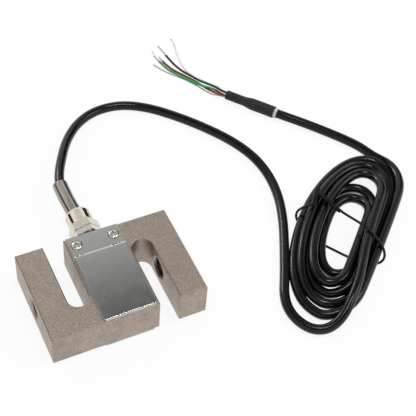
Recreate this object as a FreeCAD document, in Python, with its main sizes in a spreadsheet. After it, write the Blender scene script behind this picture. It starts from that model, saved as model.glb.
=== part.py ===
import FreeCAD, Part
import math
import os
import re

import Sketcher

# An S-type load cell lying on its lower cover.  X is the load axis, through the
# two threaded holes; +Y is the side that the cable leaves from; +Z is up.  The
# origin is under the middle of the centre block, on the plane it rests on.

doc = FreeCAD.newDocument("load_cell")
sheet = doc.addObject("Spreadsheet::Sheet", "dims")

DIMENSIONS = [
    # the S-shaped body
    ("body_length", 76.2), ("body_width", 50.8), ("body_thick", 19.05),
    ("arm_width", 13.72), ("slot_width", 10.2), ("slot_floor", 12.5), ("edge_break", 0.5),
    ("thread_drill", 5.1), ("thread_mouth", 6.05),
    ("pocket_radius", 10.0), ("web_thick", 2.0), ("web_hole_radius", 1.0), ("web_hole_place", 7.6),
    ("channel_radius", 2.8), ("channel_reach", 1.5), ("gland_hole_depth", 10.0),
    # the two covers and their screws
    ("cover_width", 26.0), ("cover_margin", 0.2), ("cover_rise", 1.3), ("cover_sheet", 0.6),
    ("cover_step", 12.6), ("cover_ramp", 1.4), ("cover_round", 0.5), ("cover_corner", 1.6),
    ("screw_spread", 9.3), ("screw_inset", 5.6), ("dimple_radius", 3.2), ("dimple_wall", 0.3),
    ("dimple_gap", 0.1), ("screw_radius", 1.5), ("screw_gap", 0.05), ("screw_length", 6.0),
    ("head_radius", 2.6), ("head_height", 1.25), ("head_crown", 0.95),
    ("recess_span", 3.0), ("recess_width", 0.7), ("recess_depth", 0.8),
    # the strain gauges and what joins them
    ("gauge_long", 9.0), ("gauge_wide", 6.0), ("gauge_thick", 0.15),
    ("board_long", 10.0), ("board_wide", 3.0), ("board_thick", 0.8), ("board_place", 6.4),
    ("resistor_long", 2.0), ("resistor_wide", 1.2), ("resistor_thick", 0.6), ("resistor_pitch", 3.2),
    ("lead_radius", 0.4), ("lead_pitch", 1.0), ("lead_gap", 0.15), ("sealant_drop", 0.4),
    # the cable gland, measured outwards from the back face
    ("stem_radius", 4.95), ("thread_gap", 0.05), ("washer_radius", 7.4), ("washer_thick", 1.6),
    ("neck_radius", 5.8), ("neck_length", 2.0), ("hex_flats", 13.5), ("hex_turn", 15.5),
    ("hex_break", 0.6), ("flange_thick", 3.1), ("flange_to_nut", 0.25), ("nut_hex_length", 4.6),
    ("dome_radius", 6.6), ("dome_length", 8.5), ("dome_round", 1.7), ("outlet_radius", 4.5),
    ("spigot_radius", 4.75), ("spigot_length", 6.6), ("seal_radius", 4.0), ("seal_floor", 0.8),
    ("seal_gap", 0.15), ("ring_radius", 4.6), ("ring_thick", 0.8),
    # the metal sleeve over the cable
    ("sleeve_radius", 3.9), ("sleeve_wall", 0.8), ("sleeve_bend", 177.0), ("sleeve_tilt", 6.4),
    ("sleeve_sweep", 8.6), ("sleeve_gap", 0.7),
    # the cable, its hank and the shrink boot at its end
    ("cable_radius", 2.5), ("jacket_strip", 1.6),
    ("hank_length", 108.0), ("hank_width", 46.6), ("hank_shift", 2.0), ("hank_low", 9.4), ("hank_high", 13.4),
    ("opening_length", 46.0), ("opening_width", 14.0), ("hank_round", 2.0),
    ("boot_fat", 3.3), ("boot_thin", 2.6), ("boot_fat_length", 14.0), ("boot_taper", 4.2),
    ("boot_thin_length", 11.0), ("boot_bore_depth", 6.0), ("boot_gap", 0.05),
    ("band_thick", 0.3), ("band_length", 1.7),
    ("wire_radius", 0.65), ("drain_radius", 0.4), ("tip_radius", 0.45), ("tie_radius", 0.6),
]
for row, (alias, value) in enumerate(DIMENSIONS, start=1):
    sheet.set("A%d" % row, alias)
    sheet.set("B%d" % row, str(value))
    sheet.setAlias("B%d" % row, alias)
doc.recompute()
ALIASES = {alias for alias, value in DIMENSIONS}


def dims(expression):
    """The expression with each of the sheet's names written dims.NAME."""
    return re.sub(r"[a-z_]\w*", lambda found: "dims." + found.group()
                  if found.group() in ALIASES else found.group(), expression)


def size(expression):
    """Value in mm of an expression written with the sheet's own names."""
    return float(sheet.evalExpression(dims(expression)))



# Places that several pieces share, written once.
MIDDLE = "cover_rise + body_thick / 2"
BACK = "body_width / 2"
WEB_TOP = "web_thick / 2"


def place(obj, x=None, y=None, z=None, yaw=None):
    """Bind an object's Placement to the sheet."""
    for axis, expression in (("x", x), ("y", y), ("z", z)):
        if expression is not None:
            obj.setExpression("Placement.Base." + axis, dims(expression))
    if yaw is not None:
        obj.setExpression("Placement.Rotation.Yaw", dims(yaw))


def new_body(name, x=None, y=None, z=None, yaw=None):
    body = doc.addObject("PartDesign::Body", name)
    body.Label = name
    place(body, x, y, z, yaw)
    return body


def plane_of(body, role):
    for feature in body.Origin.OriginFeatures:
        if feature.Role == role:
            return feature
    raise ValueError(role)


def new_sketch(body, role, name, lift=None):
    """A sketch on one of the body's own origin planes, lifted off it if asked."""
    sketch = body.newObject("Sketcher::SketchObject", name)
    sketch.AttachmentSupport = [(plane_of(body, role), "")]
    sketch.MapMode = "FlatFace"
    if lift is not None:
        sketch.setExpression("AttachmentOffset.Base.z", dims(lift))
    return sketch


def pin_point(sketch, geometry, point, x, y):
    """Hold one point of the sketch at x, y, each an expression of the sheet."""
    for kind, expression in (("DistanceX", x), ("DistanceY", y)):
        value = size(expression)
        index = sketch.addConstraint(
            Sketcher.Constraint(kind, -1, 1, geometry, point, value))
        if dims(expression) != expression:
            sketch.setExpression("Constraints[%d]" % index, dims(expression))


def outline(sketch, points):
    """A closed outline of straight lines through points, all held in place."""
    at = [FreeCAD.Vector(size(x), size(y), 0) for x, y in points]
    count = len(points)
    lines = [sketch.addGeometry(Part.LineSegment(at[i], at[(i + 1) % count]), False)
             for i in range(count)]
    for i in range(count):
        sketch.addConstraint(
            Sketcher.Constraint("Coincident", lines[i], 2, lines[(i + 1) % count], 1))
    for i, (x, y) in enumerate(points):
        pin_point(sketch, lines[i], 1, x, y)
    return lines


def circle(sketch, x, y, radius):
    centre = FreeCAD.Vector(size(x), size(y), 0)
    ring = sketch.addGeometry(
        Part.Circle(centre, FreeCAD.Vector(0, 0, 1), size(radius)), False)
    index = sketch.addConstraint(Sketcher.Constraint("Radius", ring, size(radius)))
    sketch.setExpression("Constraints[%d]" % index, dims(radius))
    pin_point(sketch, ring, 3, x, y)
    return ring


def box_outline(sketch, x0, x1, y0, y1):
    return outline(sketch, [(x0, y0), (x1, y0), (x1, y1), (x0, y1)])


def pad(body, sketch, name, length, middle=False, down=False):
    feature = body.newObject("PartDesign::Pad", name)
    feature.Profile = sketch
    feature.setExpression("Length", dims(length))
    feature.Midplane = middle
    feature.Reversed = down
    doc.recompute()
    return feature


def pocket(body, sketch, name, length, middle=False, upward=False):
    """Cut the sketch into the body; upward cuts along the sketch's normal."""
    feature = body.newObject("PartDesign::Pocket", name)
    feature.Profile = sketch
    feature.setExpression("Length", dims(length))
    feature.Midplane = middle
    feature.Reversed = upward
    doc.recompute()
    return feature


def turn(body, sketch, name, axis="H_Axis", cut=False):
    kind = "PartDesign::Groove" if cut else "PartDesign::Revolution"
    feature = body.newObject(kind, name)
    feature.Profile = sketch
    feature.ReferenceAxis = (sketch, [axis])
    feature.Angle = 360
    doc.recompute()
    return feature


def turned_body(name, profile, y, z=MIDDLE):
    """A piece turned about Y; profile holds (distance out, radius) pairs."""
    body = new_body(name, y=y, z=z)
    sketch = new_sketch(body, "YZ_Plane", name + "_profile")
    outline(sketch, profile)
    turn(body, sketch, name + "_turned")
    return body


def edges_of_faces(feature, wanted):
    """Names of the feature's faces that the test picks."""
    return ["Face%d" % (i + 1) for i, face in enumerate(feature.Shape.Faces) if wanted(face)]


def mirror(source, name, normal, through=None):
    copy = doc.addObject("Part::Mirroring", name)
    copy.Source = source
    copy.Normal = normal
    if through is not None:
        copy.setExpression("Base.z", dims(through))
    return copy


# ---------------------------------------------------------------- the body
def make_body():
    """One billet, slotted from the back and from the front into an S."""
    body = new_body("s_body", z=MIDDLE)
    blank = new_sketch(body, "XY_Plane", "billet")
    box_outline(blank, "0 - body_length / 2", "body_length / 2",
                "0 - body_width / 2", "body_width / 2")
    pad(body, blank, "billet_pad", "body_thick", middle=True)

    slots = new_sketch(body, "XY_Plane", "slots")
    for side, out in ((-1, 1), (1, -1)):
        inner = "%d * (body_length / 2 - arm_width - slot_width)" % side
        outer = "%d * (body_length / 2 - arm_width)" % side
        mouth = "%d * (body_width / 2 + slot_width)" % out
        centre = "%d * (0 - body_width / 2 + slot_floor + slot_width / 2)" % out
        slot_outline(slots, inner, outer, mouth, centre, out)
    cut = pocket(body, slots, "slots_cut", "body_thick + 2", middle=True)

    broken = body.newObject("PartDesign::Chamfer", "edge_breaks")
    broken.Base = (cut, edges_of_faces(
        cut, lambda face: abs(face.normalAt(0, 0).z) > 0.99))
    broken.setExpression("Size", dims("edge_break"))
    doc.recompute()

    threads = new_sketch(body, "XZ_Plane", "load_threads")
    for side in (-1, 1):
        out = "%d * (body_length / 2)" % side
        outer = "%d * (body_length / 2 - thread_mouth + thread_drill)" % side
        inner = "%d * (body_length / 2 - arm_width + thread_mouth - thread_drill)" % side
        within = "%d * (body_length / 2 - arm_width)" % side
        outline(threads, [(out, "0"), (out, "thread_mouth"), (outer, "thread_drill"),
                          (inner, "thread_drill"), (within, "thread_mouth"), (within, "0")])
    turn(body, threads, "load_threads_cut", cut=True)

    pockets = new_sketch(body, "XZ_Plane", "gauge_pockets")
    for side in (-1, 1):
        box_outline(pockets, "0", "pocket_radius",
                    "%d * web_thick / 2" % side, "%d * (body_thick / 2 + 1)" % side)
    turn(body, pockets, "gauge_pockets_cut", axis="V_Axis", cut=True)

    bore = new_sketch(body, "YZ_Plane", "gland_hole")
    outline(bore, [(BACK, "0"), (BACK, "stem_radius + thread_gap"),
                   ("body_width / 2 - gland_hole_depth", "stem_radius + thread_gap"),
                   ("body_width / 2 - gland_hole_depth", "channel_radius"),
                   ("pocket_radius - channel_reach", "channel_radius"),
                   ("pocket_radius - channel_reach", "0")])
    turn(body, bore, "gland_hole_cut", cut=True)

    screws = new_sketch(body, "XY_Plane", "screw_holes", lift="body_thick / 2")
    seats = new_sketch(body, "XY_Plane", "screw_seats", lift="body_thick / 2")
    for side in (-1, 1):
        across = "%d * screw_spread" % side
        circle(screws, across, "body_width / 2 - screw_inset", "screw_radius + screw_gap")
        circle(seats, across, "body_width / 2 - screw_inset", "dimple_radius + dimple_gap")
    holes = pocket(body, screws, "screw_holes_cut", "screw_length + 1")
    sinks = pocket(body, seats, "screw_seats_cut", "cover_sheet + dimple_gap")
    below = body.newObject("PartDesign::Mirrored", "lower_screw_holes")
    below.Originals = [holes, sinks]
    below.MirrorPlane = (plane_of(body, "XY_Plane"), [""])
    body.Tip = below
    doc.recompute()

    passage = new_sketch(body, "XY_Plane", "web_hole")
    circle(passage, "web_hole_place", "0", "web_hole_radius")
    pocket(body, passage, "web_hole_cut", "web_thick + 2", middle=True)
    return body


def slot_outline(sketch, inner, outer, mouth, centre, out):
    """A slot with a full round end, open at its mouth."""
    corners = [(inner, centre), (inner, mouth), (outer, mouth), (outer, centre)]
    at = [FreeCAD.Vector(size(x), size(y), 0) for x, y in corners]
    lines = [sketch.addGeometry(Part.LineSegment(at[i], at[i + 1]), False) for i in range(3)]
    middle = (at[0] + at[3]) / 2
    radius = (at[3] - at[0]).Length / 2
    deepest = middle - FreeCAD.Vector(0, out * radius, 0)
    end = sketch.addGeometry(Part.Arc(at[3], deepest, at[0]), False)
    arc = sketch.Geometry[end]
    start = 1 if arc.StartPoint.distanceToPoint(at[3]) < 0.001 else 2
    for i in range(2):
        sketch.addConstraint(Sketcher.Constraint("Coincident", lines[i], 2, lines[i + 1], 1))
    sketch.addConstraint(Sketcher.Constraint("Coincident", lines[2], 2, end, start))
    sketch.addConstraint(Sketcher.Constraint("Coincident", end, 3 - start, lines[0], 1))
    for i in range(3):
        pin_point(sketch, lines[i], 1, *corners[i])
    pin_point(sketch, lines[2], 2, *corners[3])
    index = sketch.addConstraint(
        Sketcher.Constraint("DistanceY", -1, 1, end, 3, size(centre)))
    sketch.setExpression("Constraints[%d]" % index, dims(centre))


# --------------------------------------------------------------- the covers
def make_cover(name, z):
    """A pressed cover: a shallow pan, and a strip with two dimpled screw seats."""
    body = new_body(name, z=z)
    front = "0 - body_width / 2 + cover_margin"
    back = "body_width / 2 - cover_margin"
    left = "0 - cover_width / 2"
    right = "cover_width / 2"

    # the pan, with its joggle down to the strip, and its corners and rim rounded
    pan = new_sketch(body, "XY_Plane", name + "_pan")
    box_outline(pan, left, right, front, "cover_step + cover_ramp")
    raised = pad(body, pan, name + "_pan_pad", "cover_rise")
    corners = body.newObject("PartDesign::Fillet", name + "_pan_corners")
    corners.Base = (raised, [
        "Edge%d" % (i + 1) for i, edge in enumerate(raised.Shape.Edges)
        if edge.BoundBox.ZLength > 1 and edge.BoundBox.YMax < 0])
    corners.setExpression("Radius", dims("cover_corner"))
    doc.recompute()
    joggle = new_sketch(body, "YZ_Plane", name + "_joggle")
    outline(joggle, [("cover_step", "cover_rise"), ("cover_step + cover_ramp", "cover_sheet"),
                     ("cover_step + cover_ramp", "cover_rise")])
    sloped = pocket(body, joggle, name + "_joggle_cut", "cover_width + 2", middle=True)
    rounded = body.newObject("PartDesign::Fillet", name + "_pan_edges")
    rounded.Base = (sloped, edges_of_faces(sloped, lambda face: face.normalAt(0, 0).z > 0.99))
    rounded.setExpression("Radius", dims("cover_round"))
    doc.recompute()

    strip = new_sketch(body, "XY_Plane", name + "_strip")
    box_outline(strip, left, right, "cover_step", back)
    pad(body, strip, name + "_strip_pad", "cover_sheet")

    hollow = new_sketch(body, "XY_Plane", name + "_hollow")
    inner_left, inner_right = left + " + cover_sheet", right + " - cover_sheet"
    turn_left, turn_right = left + " + cover_corner", right + " - cover_corner"
    outline(hollow, [
        (inner_left, "cover_step"), (inner_left, front + " + cover_corner"),
        (turn_left, front + " + cover_sheet"), (turn_right, front + " + cover_sheet"),
        (inner_right, front + " + cover_corner"), (inner_right, "cover_step")])
    pocket(body, hollow, name + "_hollow_cut", "cover_rise - cover_sheet", upward=True)

    cups = new_sketch(body, "XY_Plane", name + "_cups")
    sinks = new_sketch(body, "XY_Plane", name + "_sinks")
    holes = new_sketch(body, "XY_Plane", name + "_holes")
    for side in (-1, 1):
        across = "%d * screw_spread" % side
        along = "body_width / 2 - screw_inset"
        circle(cups, across, along, "dimple_radius")
        circle(sinks, across, along, "dimple_radius - dimple_wall")
        circle(holes, across, along, "screw_radius + dimple_gap")
    pad(body, cups, name + "_cups_pad", "cover_sheet", down=True)
    pocket(body, sinks, name + "_sinks_cut", "cover_sheet", upward=True)
    pocket(body, holes, name + "_holes_cut", "cover_sheet", upward=False)
    return body


def make_screw():
    """A low pan-head screw with a cross recess, at the upper right."""
    body = new_body("one_screw", x="screw_spread", y="body_width / 2 - screw_inset",
                    z="cover_rise + body_thick")
    profile = new_sketch(body, "XZ_Plane", "screw_profile")
    outline(profile, [
        ("0", "0 - screw_length"), ("screw_radius - 0.4", "0 - screw_length"),
        ("screw_radius", "0 - screw_length + 0.4"), ("screw_radius", "0"),
        ("head_radius", "0"), ("head_radius", "head_height"), ("0", "head_height")])
    turned = turn(body, profile, "screw_turned", axis="V_Axis")
    crown = body.newObject("PartDesign::Fillet", "screw_crown")
    crown.Base = (turned, edges_of_faces(
        turned, lambda face: face.normalAt(0, 0).z > 0.99 and face.BoundBox.ZMin > 1))
    crown.setExpression("Radius", dims("head_crown"))
    doc.recompute()
    recess = new_sketch(body, "XY_Plane", "screw_recess", lift="head_height")
    span, half = "recess_span / 2", "recess_width / 2"
    minus_span, minus_half = "0 - recess_span / 2", "0 - recess_width / 2"
    outline(recess, [
        (span, minus_half), (span, half), (half, half), (half, span), (minus_half, span),
        (minus_half, half), (minus_span, half), (minus_span, minus_half),
        (minus_half, minus_half), (minus_half, minus_span), (half, minus_span),
        (half, minus_half)])
    pocket(body, recess, "screw_recess_cut", "recess_depth")
    return body


def make_screws():
    upper_right = make_screw()
    upper_left = mirror(upper_right, "upper_left_screw", FreeCAD.Vector(1, 0, 0))
    doc.recompute()
    lower_right = mirror(upper_right, "lower_right_screw", FreeCAD.Vector(0, 0, 1), MIDDLE)
    lower_left = mirror(upper_left, "lower_left_screw", FreeCAD.Vector(0, 0, 1), MIDDLE)
    group = doc.addObject("Part::Compound", "cover_screws")
    group.Links = [upper_right, upper_left, lower_right, lower_left]
    group.Label = "cover_screws"
    return group


# ------------------------------------------------- what the pockets hold
def make_block(name, long, wide, thick, x, y, z):
    block = doc.addObject("Part::Box", name)
    block.Label = name
    for side, expression in (("Length", long), ("Width", wide), ("Height", thick)):
        block.setExpression(side, dims(expression))
    place(block, x, y, z)
    return block


def make_gauges():
    """A foil gauge bonded to each side of the shear web."""
    across, along = "0 - gauge_long / 2", "0 - gauge_wide / 2"
    upper = make_block("upper_strain_gauge", "gauge_long", "gauge_wide", "gauge_thick",
                       across, along, MIDDLE + " + web_thick / 2")
    lower = make_block("lower_strain_gauge", "gauge_long", "gauge_wide", "gauge_thick",
                       across, along, MIDDLE + " - web_thick / 2 - gauge_thick")
    return upper, lower


def make_electrics():
    """The terminal board, its three trimming resistors and the four leads."""
    board = make_block("bridge_terminal_board", "board_long", "board_wide", "board_thick",
                       "0 - board_long / 2", "board_place - board_wide / 2",
                       MIDDLE + " + web_thick / 2")
    resistors = [
        make_block("resistor_%d" % (i + 2), "resistor_long", "resistor_wide", "resistor_thick",
                   "%d * resistor_pitch - resistor_long / 2" % i,
                   "board_place - resistor_wide / 2",
                   MIDDLE + " + web_thick / 2 + board_thick")
        for i in (-1, 0, 1)]
    trims = doc.addObject("Part::Compound", "balance_resistors")
    trims.Links = resistors
    trims.Label = "balance_resistors"

    leads = []
    for i in range(4):
        lead = doc.addObject("Part::Cylinder", "lead_%d" % (i + 1))
        lead.setExpression("Radius", dims("lead_radius"))
        lead.setExpression("Height", dims(
            "body_width / 2 - gland_hole_depth + jacket_strip - board_place - board_wide / 2"))
        lead.Placement = FreeCAD.Placement(
            FreeCAD.Vector(), FreeCAD.Rotation(FreeCAD.Vector(1, 0, 0), -90))
        place(lead, x="%s * lead_pitch" % (i - 1.5), y="board_place + board_wide / 2",
              z=MIDDLE + " + web_thick / 2 + lead_gap + lead_radius")
        leads.append(lead)
    bundle = doc.addObject("Part::Compound", "bridge_leads")
    bundle.Links = leads
    bundle.Label = "bridge_leads"
    return board, trims, bundle


def make_sealant(name, z, held):
    """Silicone poured over what lies in a pocket, up to just under the cover."""
    fill = doc.addObject("Part::Cylinder", name + "_fill")
    fill.setExpression("Radius", dims("pocket_radius"))
    fill.setExpression("Height", dims("body_thick / 2 - web_thick / 2 - sealant_drop"))
    place(fill, z=z)
    room = doc.addObject("Part::Compound", name + "_room")
    room.Links = held
    cut = doc.addObject("Part::Cut", name)
    cut.Base = fill
    cut.Tool = room
    cut.Label = name
    return cut


# ---------------------------------------------------------------- the gland
HEX_CORNER = "hex_flats / 2 / cos(30)"
FLANGE_START = "washer_thick + neck_length"
FLANGE_END = "washer_thick + neck_length + flange_thick"
SPIGOT_END = FLANGE_END + " + spigot_length"
NUT_START = FLANGE_END + " + flange_to_nut"
NUT_END = NUT_START + " + nut_hex_length + dome_length"
RING_END = SPIGOT_END + " + ring_thick"


def cut_flats(body, name, start, length):
    """Mill six flats on a turned collar between two distances out."""
    sketch = new_sketch(body, "XZ_Plane", name + "_hex", lift="0 - (" + start + ")")
    circle(sketch, "0", "0", "hex_flats")
    corners = [(HEX_CORNER + " * cos(hex_turn + %d)" % (60 * i),
                HEX_CORNER + " * sin(hex_turn + %d)" % (60 * i)) for i in range(6)]
    outline(sketch, corners)
    return pocket(body, sketch, name + "_flats", length, upward=False)


def make_gland():
    washer = turned_body("gland_washer", [
        ("0", "stem_radius + thread_gap"), ("washer_thick", "stem_radius + thread_gap"),
        ("washer_thick", "washer_radius"), ("0", "washer_radius")], BACK)

    bore = "cable_radius + seal_gap"
    gland = turned_body("gland_body", [
        ("0 - gland_hole_depth + thread_gap * 2", bore),
        (FLANGE_END + " + seal_floor", bore),
        (FLANGE_END + " + seal_floor", "seal_radius"),
        (SPIGOT_END, "seal_radius"), (SPIGOT_END, "spigot_radius"),
        (FLANGE_END, "spigot_radius"), (FLANGE_END, HEX_CORNER + " - hex_break"),
        (FLANGE_END + " - hex_break / 2", HEX_CORNER),
        (FLANGE_START + " + hex_break / 2", HEX_CORNER),
        (FLANGE_START, HEX_CORNER + " - hex_break"), (FLANGE_START, "neck_radius"),
        ("washer_thick", "neck_radius"), ("washer_thick", "stem_radius"),
        ("0 - gland_hole_depth + thread_gap * 2 + 0.5", "stem_radius"),
        ("0 - gland_hole_depth + thread_gap * 2", "stem_radius - 0.5")], BACK)
    cut_flats(gland, "gland_body", FLANGE_START, "flange_thick")

    seal = turned_body("gland_seal", [
        (FLANGE_END + " + seal_floor", bore), (SPIGOT_END, bore),
        (SPIGOT_END, "seal_radius"), (FLANGE_END + " + seal_floor", "seal_radius")], BACK)

    ring = turned_body("gland_thrust_ring", [
        (SPIGOT_END, bore + " + 0.2"), (RING_END, bore + " + 0.2"),
        (RING_END, "ring_radius"), (SPIGOT_END, "ring_radius")], BACK)

    hex_end = NUT_START + " + nut_hex_length"
    nut = turned_body("gland_nut", [
        (NUT_START, "spigot_radius + thread_gap"), (RING_END, "spigot_radius + thread_gap"),
        (RING_END, "outlet_radius"), (NUT_END, "outlet_radius"),
        (NUT_END, "dome_radius - dome_round"),
        (NUT_END + " - dome_round * 0.3", "dome_radius - dome_round * 0.3"),
        (NUT_END + " - dome_round", "dome_radius"), (hex_end, "dome_radius"),
        (hex_end, HEX_CORNER + " - hex_break"), (hex_end + " - hex_break / 2", HEX_CORNER),
        (NUT_START + " + hex_break / 2", HEX_CORNER),
        (NUT_START, HEX_CORNER + " - hex_break")], BACK)
    cut_flats(nut, "gland_nut", NUT_START, "nut_hex_length")
    return washer, gland, seal, ring, nut


SLEEVE_START = "body_width / 2 + " + RING_END + " + sleeve_gap"


def make_sleeve():
    """A thin metal sleeve, bent a little to the side."""
    body = new_body("cable_sleeve", y=SLEEVE_START, z=MIDDLE, yaw="sleeve_tilt")
    section = new_sketch(body, "XZ_Plane", "sleeve_section")
    circle(section, "0", "0", "sleeve_radius")
    circle(section, "0", "0", "sleeve_radius - sleeve_wall")
    far = size("sleeve_bend")
    axis = section.addGeometry(Part.LineSegment(
        FreeCAD.Vector(far, 0, 0), FreeCAD.Vector(far, 10, 0)), True)
    pin_point(section, axis, 1, "sleeve_bend", "0")
    pin_point(section, axis, 2, "sleeve_bend", "sleeve_radius * 2")
    bend = body.newObject("PartDesign::Revolution", "sleeve_bent")
    bend.Profile = section
    bend.ReferenceAxis = (section, ["Axis0"])
    bend.setExpression("Angle", dims("sleeve_sweep"))
    bend.Reversed = True
    doc.recompute()
    return body


# -------------------------------------------------------- the cable's route
def vec(x, y, z):
    return FreeCAD.Vector(x, y, z)


def rounded_path(points):
    """Straight runs joined by tangent arcs, each as large as its runs allow."""
    edges = []
    radii = []
    here = points[0]
    for before, corner, after in zip(points, points[1:], points[2:]):
        run_in = corner - before
        run_out = after - corner
        half_turn = run_in.getAngle(run_out) / 2
        reach = 0.45 * min(run_in.Length, run_out.Length)
        radii.append(reach / math.tan(half_turn))
        into = FreeCAD.Vector(run_in).normalize()
        out = FreeCAD.Vector(run_out).normalize()
        start = corner - into * reach
        end = corner + out * reach
        inward = (out - into).normalize()
        middle = corner + inward * (radii[-1] * (1 / math.cos(half_turn) - 1))
        edges.append(Part.LineSegment(here, start).toShape())
        edges.append(Part.Arc(start, middle, end).toShape())
        here = end
    edges.append(Part.LineSegment(here, points[-1]).toShape())
    return Part.Wire(edges), radii


def make_tube(name, points, radius):
    """A tube of round section along the rounded route."""
    path, radii = rounded_path(points)
    section = Part.Wire([Part.Circle(points[0], points[1] - points[0], radius).toShape()])
    shape = path.makePipeShell([section], True, False)
    solid = shape if shape.ShapeType == "Solid" else shape.Solids[0]
    wanted = math.pi * radius ** 2 * path.Length
    print("%s length %.1f volume ratio %.4f radii %s" % (
        name, path.Length, solid.Volume / wanted,
        " ".join("%.0f" % value for value in radii)))
    obj = doc.addObject("Part::Feature", name)
    obj.Label = name
    obj.Shape = solid
    return obj


# The lead from the gland to the hank, round one wide bend and one tight one.
LEAD_ROUTE = [
    (7.8, 88.0, 8.4), (15.0, 100.5, 5.2), (24.5, 111.3, 3.2), (37.0, 117.6, 2.5),
    (52.0, 117.0, 2.5), (65.5, 109.3, 2.5), (77.5, 97.2, 2.5), (88.5, 83.6, 2.5),
    (98.0, 69.0, 2.5), (104.0, 54.0, 2.5), (105.0, 38.5, 2.5), (102.6, 23.0, 2.5),
    (96.9, 7.6, 2.5), (89.5, -7.8, 2.5), (81.8, -22.8, 2.5), (76.8, -32.4, 2.5),
    (75.0, -41.0, 2.5), (76.0, -49.5, 2.5), (80.5, -56.0, 2.5), (87.5, -58.8, 2.5),
    (95.5, -56.8, 2.8), (103.3, -50.6, 4.2), (109.4, -43.0, 4.2),
]
# The tail from the hank to the shrink boot.
TAIL_ROUTE = [
    (163.9, 30.2, 3.0), (160.9, 38.6, 3.0), (156.2, 47.0, 2.5), (149.3, 56.2, 2.5),
    (141.4, 65.8, 2.7), (134.4, 73.2, 3.1),
]
# Where the boot starts, and the way it points.
BOOT_START = (129.0, 79.2, 3.3)
BOOT_YAW = 129.7


def boot_point(along, side=0.0, up=0.0):
    """A point on or beside the boot's axis."""
    yaw = math.radians(BOOT_YAW)
    x, y, z = BOOT_START
    return vec(x + along * math.cos(yaw) - side * math.sin(yaw),
               y + along * math.sin(yaw) + side * math.cos(yaw), z + up)


def make_cable():
    """The jacket from inside the gland, through the sleeve, to the hank."""
    mid = size(MIDDLE)
    start = vec(0, size("body_width / 2 - gland_hole_depth + jacket_strip"), mid)
    seat = vec(0, size(SLEEVE_START), mid)
    tilt = math.radians(size("sleeve_tilt"))
    half = size("sleeve_bend") * math.tan(math.radians(size("sleeve_sweep")) / 2)
    bend = seat + vec(-math.sin(tilt), math.cos(tilt), 0) * half
    after = tilt - math.radians(size("sleeve_sweep"))
    leave = bend + vec(-math.sin(after), math.cos(after), 0) * (half + 3.5)
    points = [start, seat, bend, leave] + [vec(*p) for p in LEAD_ROUTE]
    return make_tube("cable_lead", points, size("cable_radius"))


def make_tail():
    into = boot_point(size("boot_bore_depth"))
    mouth = boot_point(-size("band_length") - 1.0)
    points = [vec(*p) for p in TAIL_ROUTE] + [mouth, into]
    return make_tube("cable_tail", points, size("cable_radius"))


# ----------------------------------------------------------------- the hank
HANK_CENTRE = (126.0, -11.0)
HANK_YAW = 42.0


def hank_point(along, across, z):
    """A point given along and across the hank, on the ground's own axes."""
    yaw = math.radians(HANK_YAW)
    return vec(HANK_CENTRE[0] + along * math.cos(yaw) - across * math.sin(yaw),
               HANK_CENTRE[1] + along * math.sin(yaw) + across * math.cos(yaw), z)


def oval(along, across, length, width, height):
    """An upright oval prism in the hank's own axes."""
    ellipse = Part.Ellipse(vec(along, across, 0), length / 2, width / 2)
    face = Part.Face(Part.Wire([ellipse.toShape()]))
    return face.extrude(vec(0, 0, height))


def notch(along, across, yaw, length, width, height):
    """A square-ended seat for a strand, its end wall at the given point."""
    block = Part.makeBox(length, width, height, vec(-length, -width / 2, -1))
    block.rotate(vec(0, 0, 0), vec(0, 0, 1), yaw)
    block.translate(vec(along, across, 0))
    return block


def make_hank():
    """The outer form of the tied turns: an oval ring, higher where they cross."""
    high = size("hank_high")
    ring = oval(size("hank_shift"), 3.2, size("hank_length"), size("hank_width"), high)
    ring = ring.cut(oval(-4, 4, size("opening_length"), size("opening_width"), high))
    slope = math.degrees(math.atan2(high - size("hank_low"), size("hank_width")))
    lid = Part.makeBox(200, 200, 40, vec(-100, -100, 0))
    lid.rotate(vec(0, 0, 0), vec(1, 0, 0), -slope)
    lid.translate(vec(0, 3.2 - size("hank_width") / 2, high))
    ring = ring.cut(lid)
    ring = ring.makeFillet(size("hank_round"), upper_rims(ring))
    lead_end = to_hank(LEAD_ROUTE[-1])
    lead_way = to_hank_yaw(LEAD_ROUTE[-2], LEAD_ROUTE[-1])
    tail_end = to_hank(TAIL_ROUTE[0])
    tail_way = to_hank_yaw(TAIL_ROUTE[1], TAIL_ROUTE[0])
    wide = size("cable_radius") * 2 + 1.2
    ring = ring.cut(notch(lead_end[0], lead_end[1], lead_way, 30, wide, high + 2))
    ring = ring.cut(notch(tail_end[0], tail_end[1], tail_way, 30, wide, high + 2))
    obj = doc.addObject("Part::Feature", "cable_hank")
    obj.Label = "cable_hank"
    obj.Shape = ring.Solids[0]
    obj.Placement = FreeCAD.Placement(
        vec(HANK_CENTRE[0], HANK_CENTRE[1], 0), FreeCAD.Rotation(vec(0, 0, 1), HANK_YAW))
    return obj


def upper_rims(solid):
    """The edges round the slanted top."""
    top = max(solid.Faces, key=lambda face: face.CenterOfMass.z)
    return top.Edges


def to_hank(point):
    yaw = math.radians(HANK_YAW)
    x, y = point[0] - HANK_CENTRE[0], point[1] - HANK_CENTRE[1]
    return (x * math.cos(yaw) + y * math.sin(yaw), -x * math.sin(yaw) + y * math.cos(yaw))


def to_hank_yaw(start, end):
    return math.degrees(math.atan2(end[1] - start[1], end[0] - start[0])) - HANK_YAW


# The tie: along the hank, across it, and the height, clear of the turns' form.
TIE_ROUTE = [
    (14.4, 27.5, 1.0), (14.2, 27.5, 7.4), (12.7, 26.2, 11.1), (7.0, 12.5, 11.7),
    (0.5, 0.0, 12.8), (-5.0, -11.0, 13.8), (-9.2, -20.2, 14.7), (-10.5, -21.3, 7.6),
    (-10.6, -21.3, 1.0),
]


def make_tie():
    """The coated wire tie round the waist of the hank."""
    return make_tube("twist_tie", [hank_point(*p) for p in TIE_ROUTE], size("tie_radius"))


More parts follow.
